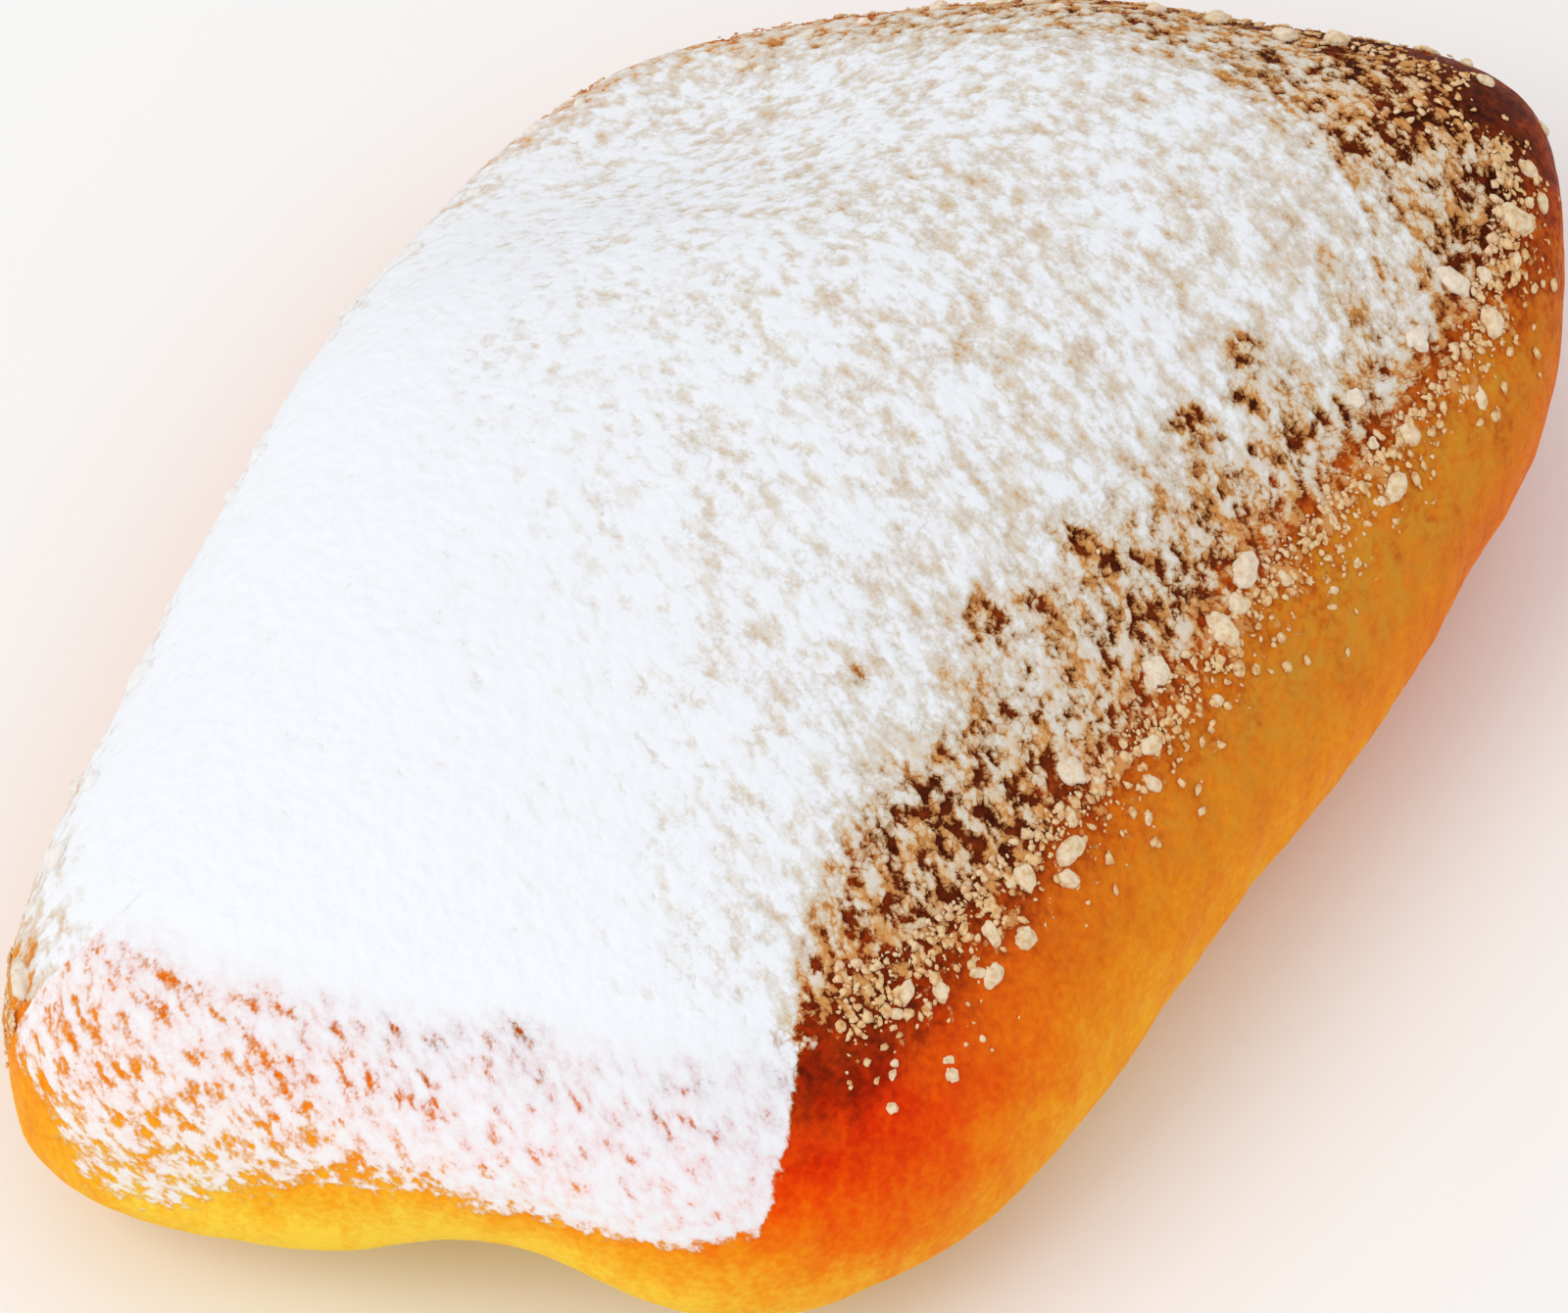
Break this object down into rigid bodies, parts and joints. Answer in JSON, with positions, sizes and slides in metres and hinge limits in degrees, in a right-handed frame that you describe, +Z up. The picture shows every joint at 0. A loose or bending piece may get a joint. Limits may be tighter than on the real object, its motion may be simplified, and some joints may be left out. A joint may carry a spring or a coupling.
{
  "type": "beignet",
  "caption": "Pillow-shaped fried dough pastry with a puffed crown, rounded side walls and a flat foot, dusted with powdered sugar.",
  "frame": {"origin": "middle of the bounding box, on the surface that the foot rests on", "axes": "+Z up; +X runs the long way from the end that is sugared to its foot to the far end; -Y is the bare side"},
  "size_m": [0.1018, 0.0652, 0.0303],
  "materials": {
    "fried_crust": "satin",
    "powdered_sugar": "matte"
  },
  "bodies": {
    "root": {"beignet": "fried_crust"}
  },
  "joints": []
}
